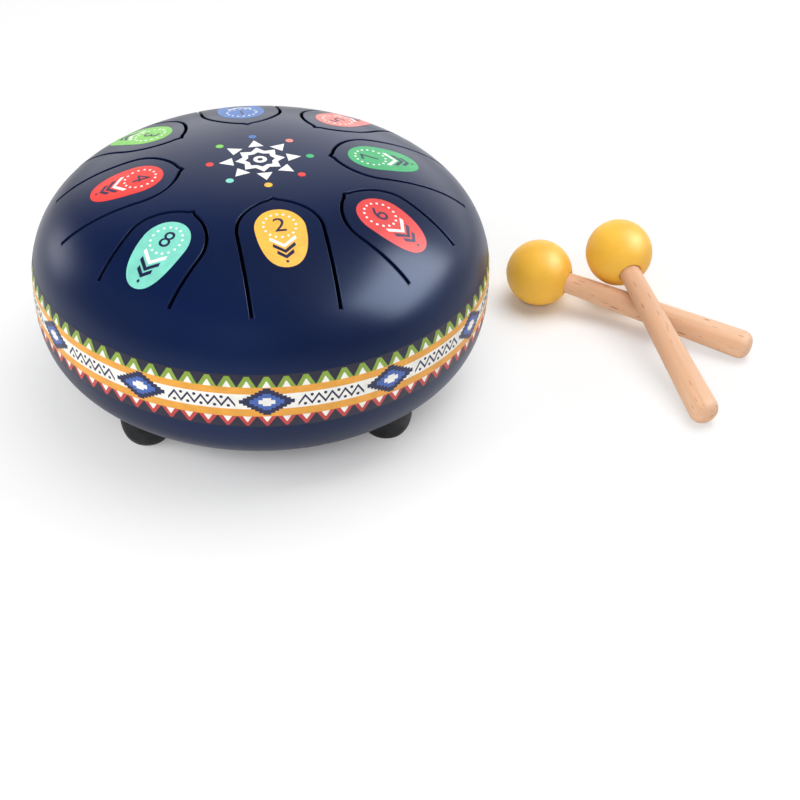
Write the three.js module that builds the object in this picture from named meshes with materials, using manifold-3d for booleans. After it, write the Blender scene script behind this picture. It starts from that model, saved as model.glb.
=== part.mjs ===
// A steel tongue drum on four rubber feet, with its two mallets lying beside it.
// Millimetres, +Z up. The group's origin is on the table, under the middle of the whole set.
import * as THREE from "three";
import { mergeVertices } from "three/addons/utils/BufferGeometryUtils.js";
import Module from "manifold-3d";

const wasm = await Module();
wasm.setup();

// Drum: both shells are superellipses of revolution about the drum's axis.
const drumRadius = 100;
const undersideHeight = 4; // the bowl's lowest level above the table
const domeHeight = 53.2; // from the seam to the top
const domeRoundness = [2.565, 2.402]; // exponents along the radius and along the height
const bowlDepth = 48.8; // from the seam to the underside
const seamHeight = undersideHeight + bowlDepth; // the widest level
const bowlRoundness = [3.2, 3.13];
const sheet = 1.2; // steel sheet of both shells
const soundHoleRadius = 30;
const seamGap = 0.3; // between the two rims, under the printed band
const lipHeight = 5; // joggled lip of the bowl, inside the dome's rim
const lipClearance = 0.4;

// Tongues, counter-clockwise from the one nearest the player; each has its note number.
const noteOrder = [2, 6, 7, 5, 1, 3, 4, 8];
const lengthOf1 = 52; // of each tongue, from its root to its point: the lower the note, the longer
const lengthOf2 = 56.5;
const lengthOf3 = 45.5;
const lengthOf4 = 54.5;
const lengthOf5 = 46.5;
const lengthOf6 = 45;
const lengthOf7 = 57.5;
const lengthOf8 = 41.5;
const tongueLength = {
  1: lengthOf1, 2: lengthOf2, 3: lengthOf3, 4: lengthOf4,
  5: lengthOf5, 6: lengthOf6, 7: lengthOf7, 8: lengthOf8,
};
const drumTurn = 8.3; // degrees that the front tongue is turned from -Y
const rootMargin = 12.5; // from the widest level in to the tongues' roots
const rootBridge = 33.08; // sheet left between the roots of two neighbouring tongues
const tongueEndRadius = drumRadius - rootMargin; // where the slits stop, from the drum's axis
const tongueHalfWidth =
  tongueEndRadius * Math.sin(Math.PI / noteOrder.length - Math.asin(rootBridge / 2 / tongueEndRadius));
const tongueCapLength = 19.5; // rounded free end
const nibLength = 1.5; // small point on the free end
const slitWidth = 1.4;

// Prints: thin films over the paint.
const filmGap = 0.12;
const filmThickness = 0.25;
const badgeFromTip = 8; // from the nib to the badge
const badgeLength = 31;
const badgeWide = 20.8; // across the blunt end
const badgeNarrow = 15; // across the end towards the rim
const starPoints = 8;
const starOuter = 17.5;
const starInner = 11.5;
const bandAboveSeam = 11.7; // to the tips of the upper teeth
const bandBelowSeam = 11.8;

// Feet and their fasteners.
const footCount = 4;
const footInset = 27; // from the widest level in to the feet
const footCircle = drumRadius - footInset; // from the drum's axis
const footTurn = -45; // degrees, the first foot from +X
const footRadius = 11.4;
const footDomeHeight = 11.2; // above which the sides are upright, up to the bowl
const footFlatRadius = 6.2; // what stands on the table
const padRise = 0.8; // flat pressed for each nut, above the bowl's surface at its middle
const padMargin = 0.6; // flat beyond the nut
const seatGap = 0.3;
const boreClearance = 0.3;
const screwRadius = 1.5;
const screwHeadRadius = 2.8;
const screwHeadHeight = 1.8;
const recessDepth = 5.4;
const recessMargin = 0.4; // recess beyond the washer
const washerRadius = 3.5;
const washerThickness = 0.5;
const nutRadius = 3.1; // over the corners
const nutHeight = 2.4;
const screwBeyondNut = 1;

// Mallets.
const ballRadius = 16;
const malletReach = 108; // from the ball's centre to the butt's end
const neckRadius = 5;
const buttRadius = 6.8;
const buttRounding = 5.5;
const ballBoreDepth = 13;
const gluelineGap = 0.15;
const restGap = 0.3; // between the two handles where they cross
const malletPlaces = {
  a: { ball: [133.9, 47.3], heading: -30.1 }, // on the table, from the drum's axis
  b: { ball: [171.5, 45.1], heading: -77.7 }, // its handle lies over A's
};

// Fineness of the round forms.
const drumSegments = 60;
const domeRings = 10;
const bowlRings = 9;
const smallSegments = 18;
const boreSegments = 10;
const footSegments = 24;
const padSegments = 16;

const materials = {
  navyPaint: finish(0x20284f, 0.4, 0.1),
  rubber: finish(0x17181a, 0.8, 0),
  zinc: finish(0xb9bcc0, 0.35, 0.9),
  beech: finish(0xdfae84, 0.65, 0),
  yellowPaint: finish(0xf2b233, 0.5, 0),
  whiteInk: finish(0xf2f2ee, 0.5, 0),
  bandInk: finish(0xe8a33a, 0.5, 0),
};
const noteColours = {
  1: 0x3b6fb5, 2: 0xf6b83c, 3: 0x7ac74f, 4: 0xe8352e, 5: 0xee8078, 6: 0xe0302f, 7: 0x2fae6a, 8: 0x7dd3c0,
};

function finish(color, roughness, metalness) {
  return new THREE.MeshStandardMaterial({ color, roughness, metalness });
}

const degrees = THREE.MathUtils.degToRad;
const group = new THREE.Group();

// A closed geometry as a solid that can be joined and cut, and back.
function toSolid(geometry) {
  const bare = geometry.clone();
  bare.deleteAttribute("normal");
  bare.deleteAttribute("uv");
  const merged = mergeVertices(bare, 1e-4);
  return new wasm.Manifold(
    new wasm.Mesh({
      numProp: 3,
      vertProperties: merged.attributes.position.array,
      triVerts: new Uint32Array(merged.index.array),
    }),
  );
}

function toGeometry(solid) {
  const mesh = solid.getMesh();
  const geometry = new THREE.BufferGeometry();
  geometry.setAttribute("position", new THREE.BufferAttribute(mesh.vertProperties, mesh.numProp));
  geometry.setIndex(new THREE.BufferAttribute(mesh.triVerts, 1));
  return geometry;
}

function addPiece(name, geometry, material, parent = group) {
  const shown = geometry.index ? geometry.toNonIndexed() : geometry;
  shown.computeVertexNormals();
  const mesh = new THREE.Mesh(shown, material);
  mesh.name = name;
  parent.add(mesh);
  return mesh;
}

// Turns a profile of [radius, height] pairs about the Z axis. Profiles run anticlockwise,
// seen with the radius to the right and the height up.
function turned(profile, segments) {
  const points = profile.map(([radius, height]) => new THREE.Vector2(Math.max(radius, 0), height));
  return new THREE.LatheGeometry(points, segments).rotateX(Math.PI / 2);
}

// A closed ring profile, whose last point joins its first.
function turnedRing(profile, segments) {
  return turned([...profile, profile[0]], segments);
}

function upright(shape, bottom, top) {
  return new THREE.ExtrudeGeometry(shape, { depth: top - bottom, bevelEnabled: false, steps: 1 })
    .translate(0, 0, bottom);
}

function rod(radius, bottom, top, segments = boreSegments) {
  return turned([[0, bottom], [radius, bottom], [radius, top], [0, top]], segments);
}

// A point of a shell's surface. The angle runs from 0 on the axis to 90 degrees at the seam,
// and offset moves the point out along the surface's normal.
function shellPoint(angle, height, roundness, up, offset) {
  const [alongRadius, alongHeight] = roundness;
  const radiusShare = Math.sin(angle) ** (2 / alongRadius);
  const heightShare = Math.max(Math.cos(angle), 0) ** (2 / alongHeight);
  const normal = new THREE.Vector2(
    (alongRadius * radiusShare ** (alongRadius - 1)) / drumRadius,
    (alongHeight * heightShare ** (alongHeight - 1)) / height,
  ).normalize();
  const radius = drumRadius * radiusShare + offset * normal.x;
  return [radius, seamHeight + up * (height * heightShare + offset * normal.y)];
}

const domePoint = (angle, offset) => shellPoint(angle, domeHeight, domeRoundness, 1, offset);
const bowlPoint = (angle, offset) => shellPoint(angle, bowlDepth, bowlRoundness, -1, offset);

// Radius of the flat pressed at each foot's screw, outside the sheet.
const padRadius = nutRadius + padMargin + sheet;

// Shell angle at which the surface is at a radius, or at a height from the seam.
const angleAtRadius = (radius, roundness) => Math.asin((radius / drumRadius) ** (roundness[0] / 2));
const angleAtHeight = (rise, height, roundness) => Math.acos((rise / height) ** (roundness[1] / 2));

// The angles of each shell's rings, from the axis to the seam. The dome has one at the lip's top.
const quarter = Math.PI / 2;
const evenAngles = (rings) => Array.from({ length: rings + 1 }, (_, i) => (i / rings) * quarter);
const lipAngle = angleAtHeight(lipHeight, domeHeight, domeRoundness);
const domeAngles = [...evenAngles(domeRings).filter((angle) => angle < lipAngle), lipAngle, quarter];
const bowlAngles = evenAngles(bowlRings);
const lipOuter = domePoint(lipAngle, -sheet)[0] - lipClearance;
const footSeat = bowlPoint(angleAtRadius(footCircle, bowlRoundness), 0)[1] + padRise;

// The centre line of one tongue's slit, in plan, with the tongue along +X.
function slitLine(tip) {
  const rootX = Math.sqrt(tongueEndRadius ** 2 - tongueHalfWidth ** 2);
  const shoulder = tip + tongueCapLength;
  const nibHalf = 1.4 * nibLength;
  const half = new THREE.Path();
  half.moveTo(rootX, tongueHalfWidth);
  half.lineTo(shoulder, tongueHalfWidth);
  half.bezierCurveTo(
    shoulder - tongueCapLength / 2, tongueHalfWidth,
    tip + 1.9 * nibLength, tongueHalfWidth * 0.45,
    tip + nibLength, nibHalf,
  );
  half.lineTo(tip, 0);
  const points = half.getPoints(9);
  const mirrored = points.slice(0, -1).reverse().map((p) => new THREE.Vector2(p.x, -p.y));
  return [...points, ...mirrored];
}

const tipRadius = (note) => tongueEndRadius - tongueLength[note];

// A ribbon of even width along a line of points, as a closed outline.
function ribbon(line, width) {
  const sides = [1, -1].map((side) =>
    line.map((point, i) => {
      const before = line[Math.max(i - 1, 0)];
      const after = line[Math.min(i + 1, line.length - 1)];
      const into = point.clone().sub(before).normalize();
      const out = after.clone().sub(point).normalize();
      const along = into.add(out).normalize();
      const reach = out.lengthSq() ? 1 / Math.max(along.dot(out), 0.6) : 1;
      return new THREE.Vector2(-along.y, along.x).multiplyScalar((side * width * reach) / 2).add(point);
    }),
  );
  return new THREE.Shape([...sides[0], ...sides[1].reverse()]);
}

// Turns a plan outline to its place round the drum's axis.
const tongueAngle = (index) => degrees(drumTurn - 90 + (index * 360) / noteOrder.length);

// The dome: outer and inner surface, cut by the eight slits.
function topShell() {
  const outside = domeAngles.map((angle) => domePoint(angle, 0));
  const inside = domeAngles.map((angle) => domePoint(angle, -sheet));
  const rim = seamHeight + seamGap / 2;
  outside[outside.length - 1][1] = rim;
  inside[inside.length - 1][1] = rim;
  let solid = toSolid(turned([...inside, ...outside.reverse()], drumSegments));
  noteOrder.forEach((note, index) => {
    const slit = ribbon(slitLine(tipRadius(note)), slitWidth);
    const cutter = upright(slit, seamHeight, seamHeight + 2 * domeHeight).rotateZ(tongueAngle(index));
    solid = solid.subtract(toSolid(cutter));
  });
  addPiece("top_shell", toGeometry(solid), materials.navyPaint);
}

const footAngles = Array.from({ length: footCount }, (_, i) => degrees(footTurn - (i * 360) / footCount));
const footPlace = (angle) => [footCircle * Math.cos(angle), footCircle * Math.sin(angle)];

// The bowl: lip inside the dome's rim, a small flat pressed at each foot's screw, and holes for
// the sound and the screws.
function bottomShell() {
  const rim = seamHeight - seamGap / 2;
  const lipTop = seamHeight + lipHeight;
  const outside = bowlAngles.map((angle) => bowlPoint(angle, 0));
  const inside = bowlAngles.map((angle) => bowlPoint(angle, -sheet));
  outside[outside.length - 1][1] = rim;
  const lipInner = lipOuter - sheet;
  const cavityRim = inside.filter(([radius]) => radius < lipInner);
  let bowl = toSolid(turned([...outside, [lipOuter, rim], [lipOuter, lipTop], [0, lipTop]], drumSegments));
  const mouth = [[lipInner, rim - 2 * sheet], [lipInner, lipTop + 1], [0, lipTop + 1]];
  let cavity = toSolid(turned([...cavityRim, ...mouth], drumSegments));
  const padFloor = footSeat + sheet;
  const atFoot = (angle, geometry) => toSolid(geometry.translate(...footPlace(angle), 0));
  for (const angle of footAngles) {
    bowl = bowl.add(atFoot(angle, rod(padRadius, footSeat, seamHeight, padSegments)))
      .subtract(atFoot(angle, rod(padRadius, 0, footSeat, padSegments)));
    cavity = cavity.subtract(atFoot(angle, rod(padRadius + sheet, 0, padFloor, padSegments)))
      .add(atFoot(angle, rod(padRadius - sheet, padFloor, seamHeight, padSegments)));
  }
  let solid = bowl.subtract(cavity).subtract(toSolid(rod(soundHoleRadius, 0, seamHeight / 2, drumSegments)));
  for (const angle of footAngles) {
    solid = solid.subtract(atFoot(angle, rod(screwRadius + boreClearance, 0, seamHeight)));
  }
  addPiece("bottom_shell", toGeometry(solid), materials.navyPaint);
}

// Thin film that lies over the whole dome, to be trimmed to each print's outline.
function domeFilm() {
  const under = domeAngles.map((angle) => domePoint(angle, filmGap));
  const over = domeAngles.map((angle) => domePoint(angle, filmGap + filmThickness));
  return toSolid(turned([...under, ...over.reverse()], drumSegments));
}

// A print on the dome: the film inside an outline that is turned to its tongue.
function domePrint(film, shape, turn) {
  const trim = upright(shape, seamHeight, seamHeight + 2 * domeHeight).rotateZ(turn);
  return toGeometry(film.intersect(toSolid(trim)));
}

function badgeOutline(start) {
  const wideAt = start + badgeLength * 0.36;
  const end = start + badgeLength;
  const shape = new THREE.Shape();
  shape.moveTo(start, 0);
  shape.bezierCurveTo(
    start, -badgeWide * 0.32,
    wideAt - badgeLength * 0.16, -badgeWide / 2,
    wideAt, -badgeWide / 2,
  );
  shape.bezierCurveTo(
    wideAt + badgeLength * 0.22, -badgeWide / 2,
    end, -badgeNarrow * 0.62,
    end, 0,
  );
  const half = shape.getPoints(5);
  const mirrored = half.slice(1, -1).reverse().map((p) => new THREE.Vector2(p.x, -p.y));
  return new THREE.Shape([...half, ...mirrored]);
}

function tongueBadges(film) {
  noteOrder.forEach((note, index) => {
    const outline = badgeOutline(tipRadius(note) + badgeFromTip);
    const badge = domePrint(film, outline, tongueAngle(index));
    addPiece(`tongue_badge_${note}`, badge, finish(noteColours[note], 0.5, 0));
  });
}

function centreBadge(film) {
  const outline = Array.from({ length: 2 * starPoints }, (_, i) => {
    const radius = i % 2 ? starInner : starOuter;
    const angle = (i * Math.PI) / starPoints;
    return new THREE.Vector2(radius * Math.cos(angle), radius * Math.sin(angle));
  });
  addPiece("centre_badge", domePrint(film, new THREE.Shape(outline), tongueAngle(0)), materials.whiteInk);
}

function rimBand() {
  const domeStart = angleAtHeight(bandAboveSeam, domeHeight, domeRoundness);
  const bowlStart = angleAtHeight(bandBelowSeam, bowlDepth, bowlRoundness);
  const upper = [domeStart, ...domeAngles.filter((angle) => angle > domeStart)];
  const lower = [bowlStart, ...bowlAngles.filter((angle) => angle > bowlStart)].slice(0, -1).reverse();
  const surface = (offset) => [
    ...upper.map((angle) => domePoint(angle, offset)),
    ...lower.map((angle) => bowlPoint(angle, offset)),
  ];
  const profile = [...surface(filmGap), ...surface(filmGap + filmThickness).reverse()];
  addPiece("rim_band", turnedRing(profile, drumSegments), materials.bandInk);
}

// The space that the bowl takes from its feet, with the gap to them.
function bowlOverFeet() {
  const surface = bowlAngles.map((angle) => bowlPoint(angle, seatGap));
  let space = toSolid(turned([...surface, [0, seamHeight]], drumSegments));
  for (const angle of footAngles) {
    const flat = rod(padRadius + seatGap, footSeat - seatGap, seamHeight, padSegments);
    space = space.add(toSolid(flat.translate(...footPlace(angle), 0)));
  }
  return space;
}

// One foot, moulded to the bowl's curve, with its screw, washer and nut, all on one upright axis.
function foot(number, angle, bowlSpace) {
  const top = bowlPoint(angleAtRadius(footCircle + footRadius, bowlRoundness), 0)[1] + sheet;
  const steps = 4;
  const dome = Array.from({ length: steps + 1 }, (_, i) => {
    const turn = (i / steps) * quarter;
    const radius = footFlatRadius + (footRadius - footFlatRadius) * Math.sin(turn);
    return [radius, footDomeHeight * (1 - Math.cos(turn))];
  });
  const bore = screwRadius + boreClearance;
  const recessRadius = washerRadius + recessMargin;
  const recess = [[bore, recessDepth], [recessRadius, recessDepth]];
  const blank = [[recessRadius, 0], ...dome, [footRadius, top], [bore, top], ...recess];
  const [x, y] = footPlace(angle);
  const rubber = toSolid(turnedRing(blank, footSegments)).subtract(bowlSpace.translate([-x, -y, 0]));
  const washerTop = recessDepth - seatGap / 3;
  const washerBottom = washerTop - washerThickness;
  const headTop = washerBottom - seatGap / 3;
  const headBottom = headTop - screwHeadHeight;
  const nutBottom = footSeat + sheet + seatGap / 3;
  const nutTop = nutBottom + nutHeight;
  const place = new THREE.Group();
  place.position.set(x, y, 0);
  group.add(place);
  addPiece(`foot_${number}`, toGeometry(rubber), materials.rubber, place);
  const screwTop = nutTop + screwBeyondNut;
  const screw = [
    [0, headBottom], [screwHeadRadius * 0.7, headBottom],
    [screwHeadRadius, headBottom + screwHeadHeight / 2], [screwHeadRadius, headTop],
    [screwRadius, headTop], [screwRadius, screwTop], [0, screwTop],
  ];
  addPiece(`foot_screw_${number}`, turned(screw, boreSegments), materials.zinc, place);
  const washer = [
    [bore, washerBottom], [washerRadius, washerBottom], [washerRadius, washerTop], [bore, washerTop],
  ];
  addPiece(`foot_washer_${number}`, turnedRing(washer, boreSegments), materials.zinc, place);
  const nut = toSolid(rod(nutRadius, nutBottom, nutTop, 6))
    .subtract(toSolid(rod(screwRadius + boreClearance / 2, 0, 2 * nutTop)));
  addPiece(`foot_nut_${number}`, toGeometry(nut), materials.zinc, place);
}

// A mallet in its own frame: the ball's centre at the origin and the handle along +X.
const handleRadius = (reach) =>
  neckRadius + ((buttRadius - neckRadius) * (reach - ballRadius)) / (malletReach - buttRounding - ballRadius);

const boreSeat = ballRadius - ballBoreDepth;

function headProfile() {
  const bore = neckRadius + gluelineGap;
  const mouth = Math.asin(bore / ballRadius);
  const steps = 9;
  const ball = Array.from({ length: steps + 1 }, (_, i) => {
    const angle = Math.PI + ((mouth - Math.PI) * i) / steps;
    return [ballRadius * Math.sin(angle), ballRadius * Math.cos(angle)];
  });
  return [...ball, [bore, boreSeat], [0, boreSeat]];
}

function handleProfile() {
  const neckStart = boreSeat + gluelineGap;
  const roundStart = malletReach - buttRounding;
  const steps = 4;
  const butt = Array.from({ length: steps }, (_, i) => {
    const angle = ((i + 1) / steps) * quarter;
    return [buttRadius * Math.cos(angle) ** 0.75, roundStart + buttRounding * Math.sin(angle)];
  });
  return [
    [0, neckStart], [neckRadius, neckStart], [neckRadius, ballRadius], [buttRadius, roundStart], ...butt,
  ];
}

function mallet(name, place) {
  const frame = new THREE.Group();
  frame.position.copy(place.position);
  frame.rotation.set(0, 0, place.heading);
  const tilted = new THREE.Group();
  tilted.rotation.set(0, quarter + place.dip, 0);
  frame.add(tilted);
  group.add(frame);
  addPiece(`mallet_${name}_head`, turned(headProfile(), smallSegments), materials.yellowPaint, tilted);
  addPiece(`mallet_${name}_handle`, turned(handleProfile(), smallSegments), materials.beech, tilted);
}

// How far the handle reaches below the ball's centre when its butt dips by an angle.
const reachBelow = (dip) =>
  Math.max(...handleProfile().map(([radius, along]) => along * Math.sin(dip) + radius * Math.cos(dip)));

// A mallet's ball centre and axis when its butt dips by an angle and rests on the table.
function malletPlace({ ball, heading }, dip) {
  const height = reachBelow(dip);
  const turn = degrees(heading);
  const along = new THREE.Vector3(
    Math.cos(turn) * Math.cos(dip), Math.sin(turn) * Math.cos(dip), -Math.sin(dip),
  );
  return { position: new THREE.Vector3(...ball, height), heading: turn, dip, along };
}

// How far the upper handle's surface is over the lower one's where they cross.
function handleGap(lower, upper) {
  const between = upper.position.clone().sub(lower.position);
  const normal = lower.along.clone().cross(upper.along);
  if (normal.z < 0) normal.negate();
  const share = (along) => Math.abs(between.clone().cross(along).dot(normal)) / normal.lengthSq();
  const apart = between.dot(normal) / normal.length();
  return apart - handleRadius(share(upper.along)) - handleRadius(share(lower.along));
}

// The smallest dip, to a thousandth of a degree, at which a rising measure reaches a value.
function dipWhere(measure, value) {
  let low = 0;
  let high = quarter / 2;
  while (high - low > degrees(0.001)) {
    const middle = (low + high) / 2;
    if (measure(middle) < value) low = middle;
    else high = middle;
  }
  return high;
}

// Mallet A lies with its ball and butt on the table, and mallet B with its handle over A's.
const placeA = malletPlace(malletPlaces.a, dipWhere(reachBelow, ballRadius));
const overA = (dip) => handleGap(placeA, malletPlace(malletPlaces.b, dip));
const placeB = malletPlace(malletPlaces.b, dipWhere(overA, restGap));

const film = domeFilm();
topShell();
bottomShell();
rimBand();
tongueBadges(film);
centreBadge(film);
const bowlSpace = bowlOverFeet();
footAngles.forEach((angle, index) => foot(index + 1, angle, bowlSpace));
mallet("a", placeA);
mallet("b", placeB);

// The origin goes under the middle of the set.
group.updateMatrixWorld(true);
const middle = new THREE.Box3().setFromObject(group, true).getCenter(new THREE.Vector3());
for (const child of group.children) child.position.add(new THREE.Vector3(-middle.x, -middle.y, 0));

export default group;
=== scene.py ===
# A steel tongue drum on four rubber feet, with two ball-headed mallets beside it.
import math
import bpy
import numpy as np
from mathutils import Matrix, Vector


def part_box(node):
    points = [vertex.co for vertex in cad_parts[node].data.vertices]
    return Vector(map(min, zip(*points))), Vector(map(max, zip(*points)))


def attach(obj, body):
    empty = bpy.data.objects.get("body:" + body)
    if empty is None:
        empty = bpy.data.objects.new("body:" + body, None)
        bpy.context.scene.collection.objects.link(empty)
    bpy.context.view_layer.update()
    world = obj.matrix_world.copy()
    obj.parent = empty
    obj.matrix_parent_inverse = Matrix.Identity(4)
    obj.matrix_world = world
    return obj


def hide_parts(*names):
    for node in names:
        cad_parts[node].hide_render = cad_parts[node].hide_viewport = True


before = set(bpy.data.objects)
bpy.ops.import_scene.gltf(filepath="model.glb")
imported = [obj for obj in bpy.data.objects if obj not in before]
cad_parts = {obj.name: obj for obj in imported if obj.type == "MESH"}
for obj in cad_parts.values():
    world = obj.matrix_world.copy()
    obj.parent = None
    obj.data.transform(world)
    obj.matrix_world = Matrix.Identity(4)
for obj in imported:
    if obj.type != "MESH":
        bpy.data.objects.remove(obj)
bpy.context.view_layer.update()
mm = 0.001
turn = 2 * math.pi
tiny = 2e-6  # points closer than this are one

# Places that come from the frame
topLow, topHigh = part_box("top_shell")
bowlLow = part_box("bottom_shell")[0]
drumAxis = (topLow + topHigh) / 2
drumAxis.z = 0


# Selecting, applying and modifying

def pick(*objects):
    if bpy.context.mode != "OBJECT":
        bpy.ops.object.mode_set(mode="OBJECT")
    bpy.ops.object.select_all(action="DESELECT")
    for obj in objects:
        obj.select_set(True)
    bpy.context.view_layer.objects.active = objects[0]
    return objects[0]


def editAll(obj):
    pick(obj)
    bpy.ops.object.mode_set(mode="EDIT")
    bpy.ops.mesh.select_all(action="SELECT")


def leaveEdit():
    bpy.ops.object.mode_set(mode="OBJECT")


def applyPlace(obj):  # the object ends at the origin, with its place in its mesh
    pick(obj)
    bpy.ops.object.transform_apply(location=True, rotation=True, scale=True)
    return obj


def putAt(obj, matrix):
    obj.matrix_world = matrix
    return applyPlace(obj)


def modify(obj, kind, **settings):
    pick(obj)
    bpy.ops.object.modifier_add(type=kind)
    modifier = obj.modifiers[-1]
    for name, value in settings.items():
        setattr(modifier, name, value)
    bpy.ops.object.modifier_apply(modifier=modifier.name)
    return obj


def remove(obj):
    bpy.data.objects.remove(obj, do_unlink=True)


def cutWith(obj, cutter, operation="DIFFERENCE", keep=False):
    modify(obj, "BOOLEAN", object=cutter, operation=operation, solver="EXACT")
    if not keep:
        remove(cutter)
    return obj


def joined(name, objects):
    pick(*objects)
    if len(objects) > 1:
        bpy.ops.object.join()
    obj = bpy.context.view_layer.objects.active
    obj.name = name
    return obj


def twin(obj, matrix):  # a copy with its own mesh, moved by a matrix that is applied
    copy = obj.copy()
    copy.data = obj.data.copy()
    bpy.context.collection.objects.link(copy)
    return putAt(copy, matrix @ obj.matrix_world)


def aboutDrum(angle):  # turns a piece drawn about the world origin to its place round the drum
    return Matrix.Translation(drumAxis) @ Matrix.Rotation(angle, 4, "Z")


def smooth(obj, angle=35):
    pick(obj)
    bpy.ops.object.shade_smooth_by_angle(angle=math.radians(angle))
    return obj


def finishPiece(obj, material, body, slot, *nodes):
    obj.data.materials.clear()
    obj.data.materials.append(material)
    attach(obj, body)
    if nodes:
        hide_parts(*nodes)
    return obj


# Turned pieces: a profile is drawn point by point, then spun about the Z axis

def drawProfile(name, points):  # points are (radius, height)
    bpy.ops.object.select_all(action="DESELECT")
    bpy.ops.mesh.primitive_plane_add(size=1)
    obj = bpy.context.active_object
    obj.name = name
    editAll(obj)
    bpy.ops.mesh.merge(type="CENTER")
    bpy.ops.transform.translate(value=(points[0][0], 0, points[0][1]))
    for (r0, z0), (r1, z1) in zip(points, points[1:]):
        bpy.ops.mesh.extrude_region_move(TRANSFORM_OT_translate={"value": (r1 - r0, 0, z1 - z0)})
    return obj


def turned(name, points, steps):
    obj = drawProfile(name, points)
    bpy.ops.mesh.select_all(action="SELECT")
    bpy.ops.mesh.spin(steps=steps, angle=turn, center=(0, 0, 0), axis=(0, 0, 1))
    bpy.ops.mesh.select_all(action="SELECT")
    bpy.ops.mesh.remove_doubles(threshold=tiny)
    bpy.ops.mesh.normals_make_consistent(inside=False)
    leaveEdit()
    return obj


def turnedRoundDrum(name, points, steps):
    return putAt(turned(name, points, steps), Matrix.Translation(drumAxis))


def arc(centre, radius, start, end, count):  # points round a corner, angles in degrees
    steps = [math.radians(start + (end - start) * i / count) for i in range(count + 1)]
    return [(centre[0] + radius * math.cos(a), centre[1] + radius * math.sin(a)) for a in steps]


# Shading nodes

def linear(hexColour):  # a colour as it is seen, as Blender wants it
    parts = [int(hexColour[i:i + 2], 16) / 255 for i in (1, 3, 5)]
    return [((c + 0.055) / 1.055) ** 2.4 if c > 0.04 else c / 12.92 for c in parts] + [1]


class Shading:
    def __init__(self, name, **settings):
        self.material = bpy.data.materials.new(name)
        self.material.use_nodes = True
        self.tree = self.material.node_tree
        self.shader = self.tree.nodes["Principled BSDF"]
        for socket, value in settings.items():
            self.shader.inputs[socket.replace("_", " ")].default_value = value
        self.coordinates = self.node("TexCoord").outputs["Object"]

    def node(self, kind, settings=None, **inputs):
        node = self.tree.nodes.new("ShaderNode" + kind)
        for name, value in (settings or {}).items():
            setattr(node, name, value)
        for name, value in inputs.items():  # i0 is the first socket
            socket = node.inputs[int(name[1:]) if name[0] == "i" else name]
            if isinstance(value, bpy.types.NodeSocket):
                self.tree.links.new(value, socket)
            else:
                socket.default_value = value
        return node

    def noise(self, scale, detail, roughness=0.55, vector=None, stretch=None):
        vector = vector or self.coordinates
        if stretch:
            vector = self.node("Mapping", Vector=vector, Scale=stretch).outputs[0]
        sizes = {"Scale": scale, "Detail": detail, "Roughness": roughness}
        return self.node("TexNoise", Vector=vector, **sizes).outputs["Fac"]

    def ramp(self, value, *stops):  # two stops of (position, colour)
        node = self.node("ValToRGB", Fac=value)
        node.color_ramp.interpolation = "EASE"
        for element, (position, colour) in zip(node.color_ramp.elements, stops):
            element.position = position
            element.color = colour
        return node.outputs["Color"]

    def spread(self, value, low, high):  # noise, from a third to two thirds, to a range
        return self.eased(value, 0.33, 0.67, low, high)

    def eased(self, value, low, high, first, last):  # from first to last, between low and high
        smoothly = {"interpolation_type": "SMOOTHSTEP"}
        return self.node("MapRange", smoothly, i0=value, i1=low, i2=high, i3=first, i4=last).outputs[0]

    def mix(self, share, first, second, blend="MIX"):
        colours = {"data_type": "RGBA", "blend_type": blend}
        return self.node("Mix", colours, i0=share, i6=first, i7=second).outputs[2]

    def to(self, socket, value):
        self.tree.links.new(value, self.shader.inputs[socket])

    def bump(self, height, strength, distance, under=None):
        node = self.node("Bump", Height=height, Strength=strength, Distance=distance)
        if under:
            self.tree.links.new(under, node.inputs["Normal"])
        return node.outputs[0]


def shade(hexColour, factor):  # a lighter or darker version
    colour = linear(hexColour)
    return [min(1, c * factor) for c in colour[:3]] + [1]


def grey(level):
    return level, level, level, 1


# Plain finishes: two clouded shades, an uneven gloss and a fine relief. Each noise is a scale, its detail
# and how rough it is, and a relief's depth is its strength and its distance in metres

def plainFinish(name, look, **settings):
    s = Shading(name, **settings)
    low, high = look["edges"]
    s.to("Base Color", s.ramp(s.noise(*look["clouds"]), (low, look["dark"]), (high, look["light"])))
    s.to("Roughness", s.spread(s.noise(*look["patches"]), *look["roughness"]))
    s.to("Normal", s.bump(s.noise(*look["relief"]), *look["depth"]))
    return s.material


def satinPaint():  # stove paint on the two shells
    look = {
        "dark": linear("#0a1739"), "light": linear("#0d1d44"), "clouds": (9, 2), "edges": (0.35, 0.65),
        "gloss": 0.30, "sheen": (0.66, 0.79, 1, 1), "patches": (14, 1), "roughness": (0.29, 0.35),
        "relief": (420, 2), "depth": (0.05, 0.0002),
    }
    return plainFinish("satinNavyPaint", look, Specular_IOR_Level=look["gloss"], Specular_Tint=look["sheen"])


def ink(name, colour):  # screen-printed, slightly uneven, and duller than the paint
    look = {
        "dark": shade(colour, 0.9), "light": shade(colour, 1.06), "clouds": (160, 5, 0.7),
        "edges": (0.3, 0.7), "patches": (300, 3), "roughness": (0.38, 0.48),
        "relief": (2600, 2), "depth": (0.08, 0.00004),
    }
    return plainFinish(name, look)


def rubber():
    look = {
        "dark": linear("#121315"), "light": linear("#1d1e20"), "clouds": (500, 4), "edges": (0.35, 0.65),
        "patches": (180, 4), "roughness": (0.5, 0.7), "relief": (3000, 3), "depth": (0.25, 0.00006),
    }
    return plainFinish("blackRubber", look)


def zincPlate():
    look = {
        "dark": linear("#b9bcc0"), "light": linear("#d3d4d2"), "clouds": (300, 4), "edges": (0.35, 0.65),
        "patches": (700, 4), "roughness": (0.30, 0.42), "relief": (2500, 3), "depth": (0.15, 0.00004),
    }
    return plainFinish("zincPlate", look, Metallic=1.0)


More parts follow.
